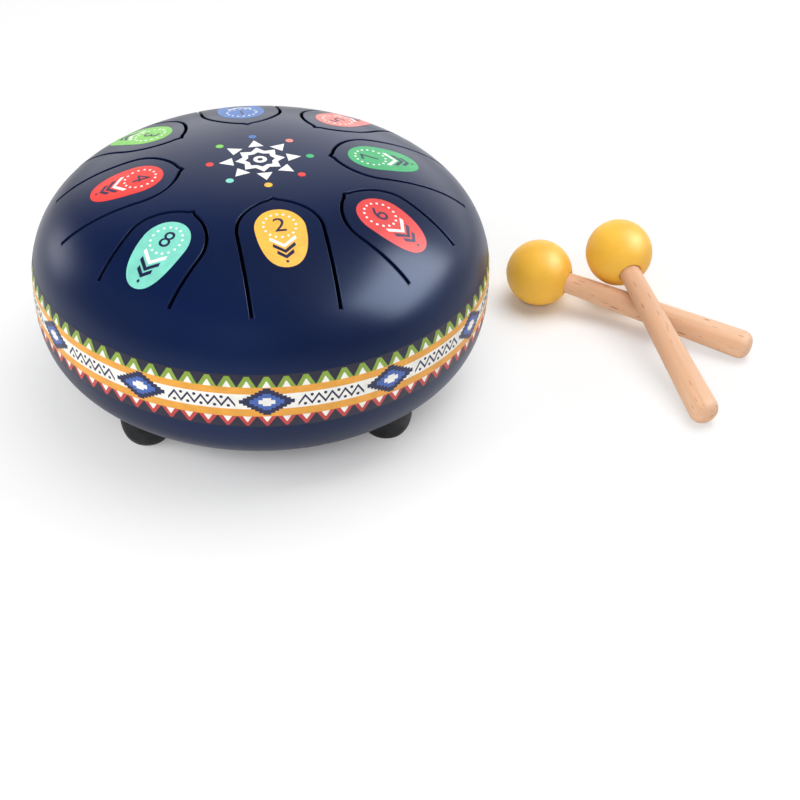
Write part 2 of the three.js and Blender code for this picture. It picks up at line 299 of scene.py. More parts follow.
def ballPaint():
    look = {
        "dark": linear("#f5ba3f"), "light": linear("#f8c146"), "clouds": (70, 4, 0.6), "edges": (0.35, 0.62),
        "patches": (220, 3), "roughness": (0.42, 0.52), "relief": (1500, 3), "depth": (0.06, 0.00005),
        "gloss": 0.35, "rings": (240, 2), "ringStretch": (1, 1, 0.25), "ringDepth": (0.08, 0.0001),
    }
    s = Shading("yellowPaint", Specular_IOR_Level=look["gloss"])
    grain = s.node("Attribute", {"attribute_name": "grain"}).outputs["Vector"]
    clouds = s.noise(*look["clouds"], vector=grain)
    low, high = look["edges"]
    s.to("Base Color", s.ramp(clouds, (low, look["dark"]), (high, look["light"])))
    s.to("Roughness", s.spread(s.noise(*look["patches"], vector=grain), *look["roughness"]))
    rings = s.bump(s.noise(*look["rings"], vector=grain, stretch=look["ringStretch"]), *look["ringDepth"])
    s.to("Normal", s.bump(s.noise(*look["relief"], vector=grain), *look["depth"], rings))
    return s.material


def beech():
    look = {
        "warm": "#dfae8a", "pale": "#e8c19f", "figure": (55, 3, 0.5), "figureStretch": (1, 1, 0.10),
        "figureEdges": (0.35, 0.62), "line": "#d4a27e", "streaks": (420, 4, 0.6),
        "streakStretch": (1, 1, 0.035), "streakEdges": (0.34, 0.52), "streakShare": 0.5,
        "gloss": 0.35, "roughness": (0.5, 0.64), "depth": (0.15, 0.0001),
        "marks": (  # pores and flecks: colour, scale, stretch and the two distances between which they fade
            ("#b57d5b", 700, 0.10, 0.08, 0.20), ("#8a5a40", 330, 0.14, 0.06, 0.14),
        ),
        "markGaps": (0.40, 0.52), "markShare": 0.95, "markClouds": (0.25, 2),
    }
    s = Shading("beech", Specular_IOR_Level=look["gloss"])
    grain = s.node("Attribute", {"attribute_name": "grain"}).outputs["Vector"]
    figure = s.noise(*look["figure"], vector=grain, stretch=look["figureStretch"])
    low, high = look["figureEdges"]
    wood = s.ramp(figure, (low, linear(look["warm"])), (high, linear(look["pale"])))
    streaks = s.noise(*look["streaks"], vector=grain, stretch=look["streakStretch"])
    low, high = look["streakEdges"]
    lines = s.ramp(streaks, (low, grey(look["streakShare"])), (high, grey(0)))
    wood = s.mix(lines, wood, linear(look["line"]))
    low, high = look["markGaps"]
    share, detail = look["markClouds"]
    for colour, scale, stretch, inner, outer in look["marks"]:
        place = s.node("Mapping", Vector=grain, Scale=(1, 1, stretch)).outputs[0]
        cells = s.node("TexVoronoi", {"feature": "F1"}, Vector=place, Scale=scale).outputs["Distance"]
        mark = s.ramp(cells, (inner, grey(1)), (outer, grey(0)))
        clouds = s.noise(share * scale, detail, vector=grain)
        sparse = s.ramp(clouds, (low, grey(0)), (high, grey(look["markShare"])))
        wood = s.mix(s.mix(1.0, mark, sparse, "MULTIPLY"), wood, linear(colour))
    s.to("Base Color", wood)
    s.to("Roughness", s.spread(streaks, *look["roughness"]))
    s.to("Normal", s.bump(streaks, *look["depth"]))
    return s.material


# The shells' outer surface: superellipses of revolution, as (radius, height) points

shell = {
    "domeRoundness": (2.565, 2.402), "bowlRoundness": (3.2, 3.13), "sheet": 1.2 * mm, "seamGap": 0.3 * mm,
    "steps": 240, "rings": 64, "edgeRounding": 0.3 * mm, "edgeSteps": 3,
}
drumRadius = (topHigh.x - topLow.x) / 2
seamHeight = topLow.z - shell["seamGap"] / 2
domeHeight = topHigh.z - seamHeight
bowlDepth = seamHeight - bowlLow.z


def shellPoint(angle, offset=0, up=1):
    nr, nh = shell["domeRoundness"] if up > 0 else shell["bowlRoundness"]
    height = domeHeight if up > 0 else bowlDepth
    shareR = math.sin(angle) ** (2 / nr)
    shareH = max(math.cos(angle), 0) ** (2 / nh)
    normal = Vector((nr * shareR ** (nr - 1) / drumRadius, nh * shareH ** (nh - 1) / height)).normalized()
    radius = drumRadius * shareR + offset * normal.x
    return max(radius, 0), seamHeight + up * (height * shareH + offset * normal.y)


def angleAtHeight(rise, up=1):
    height = domeHeight if up > 0 else bowlDepth
    power = (shell["domeRoundness"] if up > 0 else shell["bowlRoundness"])[1]
    return math.acos((rise / height) ** (power / 2))


def angleAtRadius(radius, up=1):
    power = (shell["domeRoundness"] if up > 0 else shell["bowlRoundness"])[0]
    return math.asin((radius / drumRadius) ** (power / 2))


def between(first, last, count):
    return [first + (last - first) * i / count for i in range(count + 1)]


def bezier(a, b, c, d, count):
    return [
        a * (1 - t) ** 3 + b * 3 * t * (1 - t) ** 2 + c * 3 * t * t * (1 - t) + d * t ** 3
        for t in between(0, 1, count)
    ]


# Top shell

tongues = {
    "order": (2, 6, 7, 5, 1, 3, 4, 8), "firstTurn": math.radians(8.3 - 90), "halfWidth": 17.6 * mm,
    "tip": {1: 35.5, 2: 31, 3: 42, 4: 33, 5: 41, 6: 42.5, 7: 30, 8: 46},
    "endRadius": 87.5 * mm, "cap": 19.5 * mm, "nib": 1.5 * mm, "slit": 1.4 * mm,
    "shoulderPull": 0.5, "nibPull": (1.9, 0.45), "nibHalf": 1.4, "sideSteps": 12, "capSteps": 16,
    "cutMiddle": 0.62, "cutDepth": 5 * mm,  # the middle is a share of the dome's height
    "sharpest": 0.6,  # the least cosine by which a bend pushes a side line out
}


def tongueAngle(note):
    return tongues["firstTurn"] + tongues["order"].index(note) * turn / len(tongues["order"])


def slitLine(note):  # points along the slit's middle, for a tongue along +X
    half, tip, nib = tongues["halfWidth"], tongues["tip"][note] * mm, tongues["nib"]
    root = math.sqrt(tongues["endRadius"] ** 2 - half ** 2)
    shoulder = tip + tongues["cap"]
    along, across = tongues["nibPull"]
    cap = bezier(
        Vector((shoulder, half, 0)), Vector((shoulder - tongues["cap"] * tongues["shoulderPull"], half, 0)),
        Vector((tip + along * nib, half * across, 0)), Vector((tip + nib, tongues["nibHalf"] * nib, 0)),
        tongues["capSteps"],
    )
    straight = [Vector((x, half, 0)) for x in between(root, shoulder, tongues["sideSteps"])]
    side = straight[:-1] + cap
    return side + [Vector((tip, 0, 0))] + [Vector((p.x, -p.y, 0)) for p in reversed(side)]


def lineCurve(name, points, closed=False):
    curve = bpy.data.curves.new(name, "CURVE")
    curve.dimensions = "3D"
    spline = curve.splines.new("POLY")
    spline.points.add(len(points) - 1)
    for point, place in zip(spline.points, points):
        point.co = (*place, 1)
    spline.use_cyclic_u = closed
    obj = bpy.data.objects.new(name, curve)
    bpy.context.collection.objects.link(obj)
    return obj


def slitWalls(name, width):  # upright walls along all the slits, as one cutter
    walls = []
    lift = Matrix.Translation((0, 0, seamHeight + tongues["cutMiddle"] * domeHeight))
    for note in tongues["order"]:
        line = slitLine(note)
        grow = (width - tongues["slit"]) / 2  # a wider wall is as much longer at its two ends
        for end in (0, -1):
            line[end] = line[end] + Vector((grow, 0, 0))
        wall = lineCurve(name, line)
        wall.data.extrude = domeHeight / 2
        pick(wall)
        bpy.ops.object.convert(target="MESH")
        modify(wall, "WELD", merge_threshold=tiny / 2)
        modify(wall, "SOLIDIFY", thickness=width, offset=0, use_even_offset=True)
        walls.append(putAt(wall, aboutDrum(tongueAngle(note)) @ lift))
    return joined(name, walls)


def domeSolid(name, offset):  # the dome's space, down to below the seam
    dome = [shellPoint(a, offset) for a in between(0, turn / 4, shell["rings"])]
    below = seamHeight - tongues["cutDepth"]
    return turnedRoundDrum(name, dome + [(dome[-1][0], below), (0, below)], shell["steps"])


def domeHeightAt(x, y):
    return shellPoint(angleAtRadius(math.hypot(x, y)))[1]


def sideLine(line, offset):  # a line beside another, in plan
    moved = []
    for index, point in enumerate(line):
        before, after = line[max(index - 1, 0)], line[min(index + 1, len(line) - 1)]
        into = (point - before).normalized() if index else (after - point).normalized()
        out = (after - point).normalized() if index < len(line) - 1 else into
        along = (into + out).normalized()
        reach = 1 / max(along.dot(out), tongues["sharpest"])
        moved.append(point + offset * reach * Vector((-along.y, along.x, 0)))
    return moved


def slitBead(note):  # the rounded edge all round a slit, as a closed bead in the shallow cut's corner
    radius = shell["edgeRounding"]
    line = slitLine(note)
    reach = tongues["slit"] / 2 + radius
    for end in (0, -1):
        line[end] = line[end] + Vector((radius, 0, 0))
    outline = sideLine(line, reach) + sideLine(line, -reach)[::-1]
    points = [Vector((p.x, p.y, domeHeightAt(p.x, p.y) - radius)) for p in outline]
    bead = lineCurve("slitBead", points, closed=True)
    bead.data.bevel_depth = radius
    bead.data.bevel_resolution = shell["edgeSteps"]
    pick(bead)
    bpy.ops.object.convert(target="MESH")
    return putAt(bead, aboutDrum(tongueAngle(note)))


def buildTopShell(paint):
    rim = seamHeight + shell["seamGap"] / 2
    angles = between(0, turn / 4, shell["rings"])
    outside = [shellPoint(a) for a in angles]
    inside = [shellPoint(a, -shell["sheet"]) for a in angles]
    outside[-1] = (outside[-1][0], rim)
    inside[-1] = (inside[-1][0], rim)
    top = turnedRoundDrum("topShell", outside + inside[::-1], shell["steps"])
    edge = shell["edgeRounding"]
    shallow = slitWalls("shallowCutter", tongues["slit"] + 2 * edge)
    cutWith(shallow, domeSolid("domeCore", -edge))
    cutWith(top, shallow)
    cutWith(top, slitWalls("slitCutter", tongues["slit"]))
    top = joined("topShell", [top] + [slitBead(note) for note in tongues["order"]])
    smooth(top, 40)
    print("top shell:", len(top.data.polygons), "faces")
    return finishPiece(top, paint, "drum", "shell_paint", "top_shell")


# Bottom shell

bowl = {
    "soundHole": 30 * mm, "lip": 5 * mm, "lipClearance": 0.4 * mm, "edge": 0.35 * mm,
    "pad": 4.9 * mm, "padRise": 0.8 * mm, "padWall": 0.3 * mm, "screwHole": 1.8 * mm,
    "edgeSteps": 5, "padSteps": 64, "padSpace": 4,  # cleared over a pad, in sheets
}
footPlaces = [sum(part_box(f"foot_screw_{i}"), Vector()) / 2 for i in (1, 2, 3, 4)]
footCircle = (footPlaces[0] - drumAxis).xy.length
footSeat = shellPoint(angleAtRadius(footCircle, -1), 0, -1)[1] + bowl["padRise"]


def cylinder(radius, low, high):
    return [(0, low), (radius, low), (radius, high), (0, high)]


def atFeet(name, profile):  # a turned solid at each foot, as one piece
    solids = []
    for place in footPlaces:
        solid = turned(name, profile, bowl["padSteps"])
        solids.append(putAt(solid, Matrix.Translation((place.x, place.y, 0))))
    return joined(name, solids)


def padCutter():  # the space under the pad, the screw's hole and the space over the pad, in one
    radius, hole = bowl["pad"], bowl["screwHole"]
    inner = radius - shell["sheet"]
    padTop = footSeat + shell["sheet"]
    above = footSeat + bowl["padSpace"] * shell["sheet"]
    return [
        (0, 0), (radius, 0), (radius, footSeat), (hole, footSeat), (hole, padTop), (inner, padTop),
        (inner, above), (0, above),
    ]


def buildBottomShell(paint):
    sheet = shell["sheet"]
    rim = seamHeight - shell["seamGap"] / 2
    lipOuter = shellPoint(angleAtHeight(bowl["lip"]), -sheet)[0] - bowl["lipClearance"]
    lipInner = lipOuter - sheet
    lipTop = seamHeight + bowl["lip"]
    angles = between(angleAtRadius(bowl["soundHole"], -1), turn / 4, shell["rings"])
    edge = bowl["edge"]
    outside = [shellPoint(a, 0, -1) for a in angles]
    outside[-1] = (outside[-1][0], rim)
    hole, floor = bowl["soundHole"], outside[0][1]
    start = hole + 1.2 * edge  # past the rounded edge of the sound hole
    outside = [p for p in outside if p[0] > start]
    inside = [shellPoint(a, -sheet, -1) for a in angles]
    inside = [p for p in inside if start < p[0] < lipInner]
    mouth = arc((hole + edge, floor + sheet - edge), edge, 90, 180, bowl["edgeSteps"])
    mouth += arc((hole + edge, floor + edge), edge, 180, 270, bowl["edgeSteps"])
    lip = [(lipOuter, rim), (lipOuter, lipTop), (lipInner, lipTop), (lipInner, rim - 2 * sheet)]
    section = mouth + outside + lip + inside[::-1] + [mouth[0]]
    bottom = turnedRoundDrum("bottomShell", section, shell["steps"])
    padWall = cylinder(bowl["pad"] + bowl["padWall"], footSeat - bowl["padWall"], footSeat + 2 * sheet)
    cutWith(bottom, atFeet("pads", padWall), "UNION")
    cutWith(bottom, atFeet("padSpaces", padCutter()))
    smooth(bottom, 30)
    print("bottom shell:", len(bottom.data.polygons), "faces")
    return finishPiece(bottom, paint, "drum", "shell_paint", "bottom_shell")


# Prints: shapes drawn flat, cut into a grid, projected on the drum's skin and given the ink's thickness

inkLayer = {
    "thickness": 0.04 * mm, "gap": 0.3,  # the gap to the skin is a share of the thickness
    "grid": 2 * mm, "above": 1.2, "before": 1.1,  # from where shapes are projected, in heights and radii
    "numeral": 0.72,  # a numeral's height, as a share of its type size
}
noteColours = {
    1: "#3b6fb5", 2: "#f6b83c", 3: "#7ac74f", 4: "#e8352e",
    5: "#ee8078", 6: "#e0302f", 7: "#2fae6a", 8: "#7dd3c0",
}


def flatShape(name, *outlines):  # an outline inside another is a hole in it
    curve = bpy.data.curves.new(name, "CURVE")
    curve.dimensions = "2D"
    curve.fill_mode = "BOTH"
    for outline in outlines:
        spline = curve.splines.new("POLY")
        spline.points.add(len(outline) - 1)
        for point, (x, y) in zip(spline.points, outline):
            point.co = (x, y, 0, 1)
        spline.use_cyclic_u = True
    obj = bpy.data.objects.new(name, curve)
    bpy.context.collection.objects.link(obj)
    pick(obj)
    bpy.ops.object.convert(target="MESH")
    return obj


def numeral(number, height, along):  # its foot towards +X
    bpy.ops.object.select_all(action="DESELECT")
    bpy.ops.object.text_add(rotation=(0, 0, turn / 4), location=(along, 0, 0))
    text = bpy.context.active_object
    text.data.body = str(number)
    text.data.size = height / inkLayer["numeral"]
    text.data.align_x = "CENTER"
    text.data.align_y = "CENTER"
    bpy.ops.object.convert(target="MESH")
    return applyPlace(text)


def circle(centre, radius, count):
    angles = between(0, turn, count)[:-1]
    return [(centre[0] + radius * math.cos(a), centre[1] + radius * math.sin(a)) for a in angles]


def dice(obj, step):  # cuts a flat shape along a grid
    spots = np.array([v.co for v in obj.data.vertices])
    low, high = spots.min(0), spots.max(0)
    editAll(obj)
    bpy.ops.mesh.remove_doubles(threshold=tiny / 2)
    for axis, direction in ((0, (1, 0, 0)), (1, (0, 1, 0))):
        count = math.ceil((high[axis] - low[axis]) / step)
        for place in between(low[axis], high[axis], max(count, 1))[1:-1]:
            bpy.ops.mesh.select_all(action="SELECT")
            bpy.ops.mesh.bisect(plane_co=[place * d for d in direction], plane_no=direction)
    bpy.ops.mesh.select_all(action="SELECT")
    bpy.ops.mesh.dissolve_degenerate(threshold=tiny)
    bpy.ops.mesh.select_all(action="SELECT")
    if obj.data.polygons[0].normal.z < 0:
        bpy.ops.mesh.flip_normals()
    leaveEdit()
    return obj


def printOn(skin, flat, place, layer=0, side=False):  # from above, or from the front for the band
    dice(flat, inkLayer["grid"])
    putAt(flat, place)
    if side:
        way = {"use_project_y": True}
    else:
        way = {"use_project_z": True, "use_negative_direction": True, "use_positive_direction": False}
    away = (layer + inkLayer["gap"]) * inkLayer["thickness"]
    modify(flat, "SHRINKWRAP", target=skin, wrap_method="PROJECT", offset=away, **way)
    modify(flat, "SOLIDIFY", thickness=inkLayer["thickness"], offset=1)
    return flat


def drumSkin():  # the drum's whole outside, uncut
    dome = [shellPoint(a) for a in between(0, turn / 4, 2 * shell["rings"])]
    under = [shellPoint(a, 0, -1) for a in between(turn / 8, turn / 4, shell["rings"])]
    return turnedRoundDrum("drumSkin", dome + under[::-1][1:], 2 * shell["steps"])


def fromAbove(angle):  # a flat shape's place, clear above the dome
    return aboutDrum(angle) @ Matrix.Translation((0, 0, seamHeight + inkLayer["above"] * domeHeight))


# Patches on the tongues: a numeral in a ring of dots, with chevrons towards the rim

patch = {
    "fromTip": 8, "length": 31, "wide": 20.8, "narrow": 15, "widest": 0.36, "steps": 16,
    "startPull": (0.32, 0.16), "endPull": (0.22, 0.62),
    "numeral": 8, "numeralAt": 9.8, "ring": 6.6, "ringDots": 16, "dot": 0.55, "dotSteps": 12,
    "whiteChevron": (20.1, 5.2), "navyChevrons": ((22.9, 4.4), (25.5, 3.2)),
    "sweep": 0.8, "stroke": 1.1, "strokeAlong": 1.5, "strokeAcross": 0.25,
    "tail": (28.4, 0.6), "tailSteps": 14,
}


def patchOutline(start):
    length, wide, narrow = patch["length"] * mm, patch["wide"] * mm, patch["narrow"] * mm
    widest, end = start + patch["widest"] * length, start + length
    across, along = patch["startPull"]
    half = bezier(
        Vector((start, 0)), Vector((start, across * wide)),
        Vector((widest - along * length, wide / 2)), Vector((widest, wide / 2)), patch["steps"],
    )
    along, across = patch["endPull"]
    half += bezier(
        Vector((widest, wide / 2)), Vector((widest + along * length, wide / 2)),
        Vector((end, across * narrow)), Vector((end, 0)), patch["steps"],
    )[1:]
    return half + [(x, -y) for x, y in half[1:-1][::-1]]


def chevron(at, half):  # its point towards +X
    back = patch["sweep"] * half
    along, across = patch["stroke"] * mm * patch["strokeAlong"], patch["stroke"] * mm * patch["strokeAcross"]
    return [
        (at, 0), (at - back, half), (at - back + along, half + across), (at + along, 0),
        (at - back + along, -half - across), (at - back, -half),
    ]


def printTongues(skin, white, navy):
    for note in tongues["order"]:
        place = fromAbove(tongueAngle(note))
        start = (tongues["tip"][note] + patch["fromTip"]) * mm
        base = smooth(printOn(skin, flatShape(f"patch{note}", patchOutline(start)), place))
        colour = ink(f"ink{note}", noteColours[note])
        finishPiece(base, colour, "drum", f"note_print_{note}", f"tongue_badge_{note}")
        middle, ring = start + patch["numeralAt"] * mm, patch["ring"] * mm
        marks = [
            circle((middle + ring * math.cos(a), ring * math.sin(a)), patch["dot"] * mm, patch["dotSteps"])
            for a in between(0, turn, patch["ringDots"])[:-1]
        ]
        at, half = patch["whiteChevron"]
        marks.append(chevron(start + at * mm, half * mm))
        white.append(printOn(skin, flatShape("whiteMark", *marks), place, 1))
        marks = [chevron(start + at * mm, half * mm) for at, half in patch["navyChevrons"]]
        at, radius = patch["tail"]
        marks.append(circle((start + at * mm, 0), radius * mm, patch["tailSteps"]))
        sign = numeral(note, patch["numeral"] * mm, middle)
        navy.append(printOn(skin, joined("navyMark", [flatShape("navyMark", *marks), sign]), place, 1))
    print("tongue patches:", len(tongues["order"]))


# Figure in the middle: a ring of rays round an eight-pointed star, and a dot for each tongue

star = {
    "points": 8, "rayTip": 17.5, "rayBase": 11.6, "rayHalf": 3.3, "outer": (10.6, 7.6), "inner": (6.4, 5.2),
    "eye": (2.9, 32), "pupil": (1.2, 20), "dotRing": 21.4, "dot": (1.7, 24),  # radius and steps of each
}


def around(radius, angle):
    return radius * mm * math.cos(angle), radius * mm * math.sin(angle)


def starOutline(outer, inner):
    corners = between(0, turn, 2 * star["points"])[:-1]
    return [around(inner if i % 2 else outer, a) for i, a in enumerate(corners)]


def printCentre(skin, white):
    place = fromAbove(tongues["firstTurn"])
    spread = math.atan2(star["rayHalf"], star["rayBase"])
    reach = math.hypot(star["rayHalf"], star["rayBase"])
    shapes = [
        [around(reach, a - spread), around(star["rayTip"], a), around(reach, a + spread)]
        for a in between(0, turn, star["points"])[:-1]
    ]
    shapes += [starOutline(*star["outer"]), starOutline(*star["inner"])]
    shapes += [circle((0, 0), radius * mm, steps) for radius, steps in (star["eye"], star["pupil"])]
    figure = smooth(printOn(skin, flatShape("centreFigure", *shapes), place))
    finishPiece(figure, white, "drum", "centre_print", "centre_badge")
    radius, steps = star["dot"]
    spot = circle((star["dotRing"] * mm, 0), radius * mm, steps)
    for note in tongues["order"]:
        dot = smooth(printOn(skin, flatShape(f"centreDot{note}", spot), fromAbove(tongueAngle(note))))
        finishPiece(dot, bpy.data.materials[f"ink{note}"], "drum", f"note_print_{note}")
    print("centre figure:", star["points"], "rays")


# Band round the seam, with sizes above and below it

band = {
    "ground": (12.4, -12.5), "edge": (7.0, -7.0), "white": (3.8, -3.4), "stripeRows": 0.8,
    "teeth": 80, "toothTip": (11.7, -11.8), "toothHalf": 3.75, "blunt": (0.95, 0.5),
    "innerHalf": 1.75, "innerTip": 2.7, "innerBlunt": 0.2,
    "repeats": 12, "lozenge": (11.0, 6.4), "clear": 1.5,
    "nested": (("Navy", 7, 1), ("Blue", 4, 0.62), ("White", 2, 0.3)),  # ink, steps, share of the size
    "zigzags": 5, "swing": 2.0, "line": 0.7, "dot": 0.7, "dotSteps": 10,
    "inks": {
        "Orange": "#e9a339", "White": "#f3f1ea", "Green": "#86a43a", "Red": "#bf3b3a", "Navy": "#161c48",
        "Blue": "#3f62b0", "Ground": "#17152f",
    },
}


def ringFilm(name, low, high):  # a plain stripe round the drum
    heights = between(low * mm, high * mm, max(2, round((high - low) / band["stripeRows"])))
    inner = inkLayer["gap"] * inkLayer["thickness"]
    sides = [
        [shellPoint(angleAtHeight(abs(h), 1 if h > 0 else -1), offset, 1 if h > 0 else -1) for h in heights]
        for offset in (inner + inkLayer["thickness"], inner)
    ]
    return turnedRoundDrum(name, sides[0] + sides[1][::-1] + [sides[0][0]], 2 * shell["steps"])


def fromFront():  # clear before the drum, a shape's X along the band and its Y up
    before = Matrix.Translation((0, -inkLayer["before"] * drumRadius, seamHeight))
    return aboutDrum(0) @ before @ Matrix.Rotation(turn / 4, 4, "X")


def aroundBand(piece, count, start=0):  # copies of the piece, turned round the drum
    turns = [aboutDrum((start + index) * turn / count) for index in range(count)]
    copies = [twin(piece, matrix @ Matrix.Translation(-drumAxis)) for matrix in turns]
    remove(piece)
    return copies


def bandShape(skin, layer, *outlines):
    outlines = [[(x * mm, y * mm) for x, y in outline] for outline in outlines]
    return printOn(skin, flatShape("bandShape", *outlines), fromFront(), layer, side=True)


def steppedLozenge(half, height, steps, centre):
    corner = []
    for index in range(steps):
        x = half - index * half / steps
        corner += [(x, index * height / steps), (x, (index + 1) * height / steps)]
    quarter = corner[1:]
    upper = quarter + [(-x, y) for x, y in quarter[::-1]]
    return [(x, y + centre) for x, y in upper + [(x, -y) for x, y in upper[::-1]]]


def teethAndEdge(skin, films, side, colour):
    edge, tip, blunt = band["edge"][side], band["toothTip"][side], band["blunt"][side]
    half, flat = band["innerHalf"], band["innerBlunt"]
    innerTip = edge + math.copysign(band["innerTip"], tip)
    tooth = [(-band["toothHalf"], edge), (band["toothHalf"], edge), (blunt, tip), (-blunt, tip)]
    inner = [(-half, edge), (half, edge), (flat, innerTip), (-flat, innerTip)]
    films["Ground"].append(ringFilm("stripe", *sorted((edge, band["ground"][side]))))
    films[colour] += aroundBand(bandShape(skin, 1, tooth), band["teeth"])
    films["White"] += aroundBand(bandShape(skin, 2, inner), band["teeth"])


def zigzagAndDots(pitch, middle):  # between two lozenges, drawn about its own middle
    reach = pitch / 2 - band["lozenge"][0] - band["clear"]
    xs = between(-reach, reach, 2 * band["zigzags"])
    line, swing = band["line"], band["swing"]
    ys = [middle + (swing if i % 2 else -swing) for i in range(len(xs))]
    zigzag = [(x, y + line) for x, y in zip(xs, ys)] + [(x, y - line) for x, y in zip(xs[::-1], ys[::-1])]
    spots = [(x, 2 * middle - y) for x, y in zip(xs[1:-1], ys[1:-1])]
    dots = [circle(spot, band["dot"], band["dotSteps"]) for spot in spots]
    return [zigzag] + dots


def printBand(skin):
    films = {name: [] for name in band["inks"]}
    upperEdge, lowerEdge = band["edge"]
    upperWhite, lowerWhite = band["white"]
    films["Orange"].append(ringFilm("stripe", upperWhite, upperEdge))
    films["Orange"].append(ringFilm("stripe", lowerEdge, lowerWhite))
    films["White"].append(ringFilm("stripe", lowerWhite, upperWhite))
    teethAndEdge(skin, films, 0, "Green")
    teethAndEdge(skin, films, 1, "Red")
    middle = (upperWhite + lowerWhite) / 2
    half, height = band["lozenge"]
    count = band["repeats"]
    for layer, (colour, steps, share) in enumerate(band["nested"], 1):
        shape = steppedLozenge(share * half, share * height, steps, middle)
        films[colour] += aroundBand(bandShape(skin, layer, shape), count)
    pitch = turn * drumRadius / mm / count
    films["Navy"] += aroundBand(bandShape(skin, 1, *zigzagAndDots(pitch, middle)), count, 0.5)
    for name, pieces in films.items():
        film = smooth(joined("band" + name, pieces))
        finishPiece(film, ink(f"band{name}Ink", band["inks"][name]), "drum", "band_print")
        print("band", name, len(film.data.polygons), "faces")
    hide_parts("rim_band")


def printDrum():
    skin = drumSkin()
    whiteInk, navyInk = ink("whiteInk", "#f1f1ee"), ink("navyInk", "#1a1d45")
    white, navy = [], []
    printTongues(skin, white, navy)
    printCentre(skin, whiteInk)
    finishPiece(smooth(joined("whiteMarks", white)), whiteInk, "drum", "centre_print")
    finishPiece(smooth(joined("navyMarks", navy)), navyInk, "drum", "shell_paint")
    printBand(skin)
    remove(skin)


# Feet and their fasteners

foot = {
    "radius": 11.4, "dome": 11.2, "flat": 6.2, "recess": 3.9, "recessDepth": 5.4, "bore": 1.8, "edge": 0.4,
    "gap": 0.05, "domeSteps": 24, "sideSteps": 6, "edgeSteps": 5, "steps": 64,
}


def bowlOverFeet():  # the space that the feet leave to the bowl
    gap = foot["gap"] * mm
    under = [shellPoint(a, gap, -1) for a in between(0, turn / 4, shell["rings"])]
    space = turnedRoundDrum("bowlSpace", under + [(0, seamHeight)], shell["steps"])
    overPads = cylinder(bowl["pad"] + gap, footSeat - gap, seamHeight)
    return cutWith(space, atFeet("padSpaces", overPads), "UNION")


def buildFeet(material):
    radius, flat, dome = foot["radius"] * mm, foot["flat"] * mm, foot["dome"] * mm
    recess, bore, edge = foot["recess"] * mm, foot["bore"] * mm, foot["edge"] * mm
    top = shellPoint(angleAtRadius(footCircle + radius, -1), 0, -1)[1] + shell["sheet"]
    angles = between(0, turn / 4, foot["domeSteps"])
    outer = [(flat + (radius - flat) * math.sin(a), dome * (1 - math.cos(a))) for a in angles]
    outer += [(radius, z) for z in between(dome, top, foot["sideSteps"])[1:]]
    ceiling = foot["recessDepth"] * mm
    mouth = arc((recess + edge, edge), edge, 180, 270, foot["edgeSteps"])
    profile = mouth + outer[1:] + [(bore, top), (bore, ceiling), (recess, ceiling), mouth[0]]
    model = turned("footModel", profile, foot["steps"])
    space = bowlOverFeet()
    for index, place in enumerate(footPlaces, 1):
        piece = twin(model, Matrix.Translation((place.x, place.y, 0)))
        piece.name = f"rubberFoot{index}"
        cutWith(piece, space, keep=True)
        smooth(piece, 40)
        finishPiece(piece, material, "drum", "rubber", f"foot_{index}")
    remove(model)
    remove(space)
    print("feet:", len(footPlaces))


fastener = {
    "shaft": 1.5, "thread": 0.16, "threadSteps": 40, "shaftEnd": 0.3, "head": 2.8, "headHeight": 1.8,
    "headFlat": 0.45, "headRounding": 1.2, "headSteps": 8, "neck": 0.2, "slot": (0.75, 3.1, 1.0),
    "slotEdge": 0.1, "screwSteps": 40, "washerBore": 1.8, "washerEdge": 0.08, "nutBore": 1.65,
    "nutEdge": 0.35, "nutFall": 0.21, "nutCorner": 0.02, "steps": 48, "boreSteps": 32,
}


def screwModel():
    low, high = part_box("foot_screw_1")
    shaft, head, neck = fastener["shaft"] * mm, fastener["head"] * mm, fastener["neck"] * mm
    headTop = low.z + fastener["headHeight"] * mm
    rounding = fastener["headRounding"] * mm
    profile = [(0, low.z), (fastener["headFlat"] * head, low.z)]
    profile += arc((head - rounding, low.z + rounding), rounding, 270, 360, fastener["headSteps"])
    profile += [(head, headTop), (shaft + neck, headTop), (shaft, headTop + neck)]
    thread = between(headTop + 2 * neck, high.z - fastener["shaftEnd"] * mm, fastener["threadSteps"])
    profile += [(shaft - (fastener["thread"] * mm if i % 2 else 0), z) for i, z in enumerate(thread)]
    profile += [(shaft - fastener["shaftEnd"] * mm, high.z), (0, high.z)]
    screw = turned("screwModel", profile, fastener["screwSteps"])
    wide, long, deep = [size * mm for size in fastener["slot"]]
    for angle in (0, turn / 4):
        bpy.ops.object.select_all(action="DESELECT")
        bpy.ops.mesh.primitive_cube_add(
            size=1, rotation=(0, 0, angle), scale=(long, wide, 2 * deep), location=(0, 0, low.z),
        )
        bar = bpy.context.active_object
        editAll(bar)
        bpy.ops.mesh.bevel(offset=fastener["slotEdge"] * mm, segments=2)
        leaveEdit()
        cutWith(screw, applyPlace(bar))
    return smooth(screw, 40)


def washerModel():
    low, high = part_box("foot_washer_1")
    bore, outer, edge = fastener["washerBore"] * mm, (high.x - low.x) / 2, fastener["washerEdge"] * mm
    ring = [
        (bore, low.z), (outer - edge, low.z), (outer, low.z + edge), (outer, high.z - edge),
        (outer - edge, high.z), (bore, high.z), (bore, low.z),
    ]
    return smooth(turned("washerModel", ring, fastener["steps"]), 40)


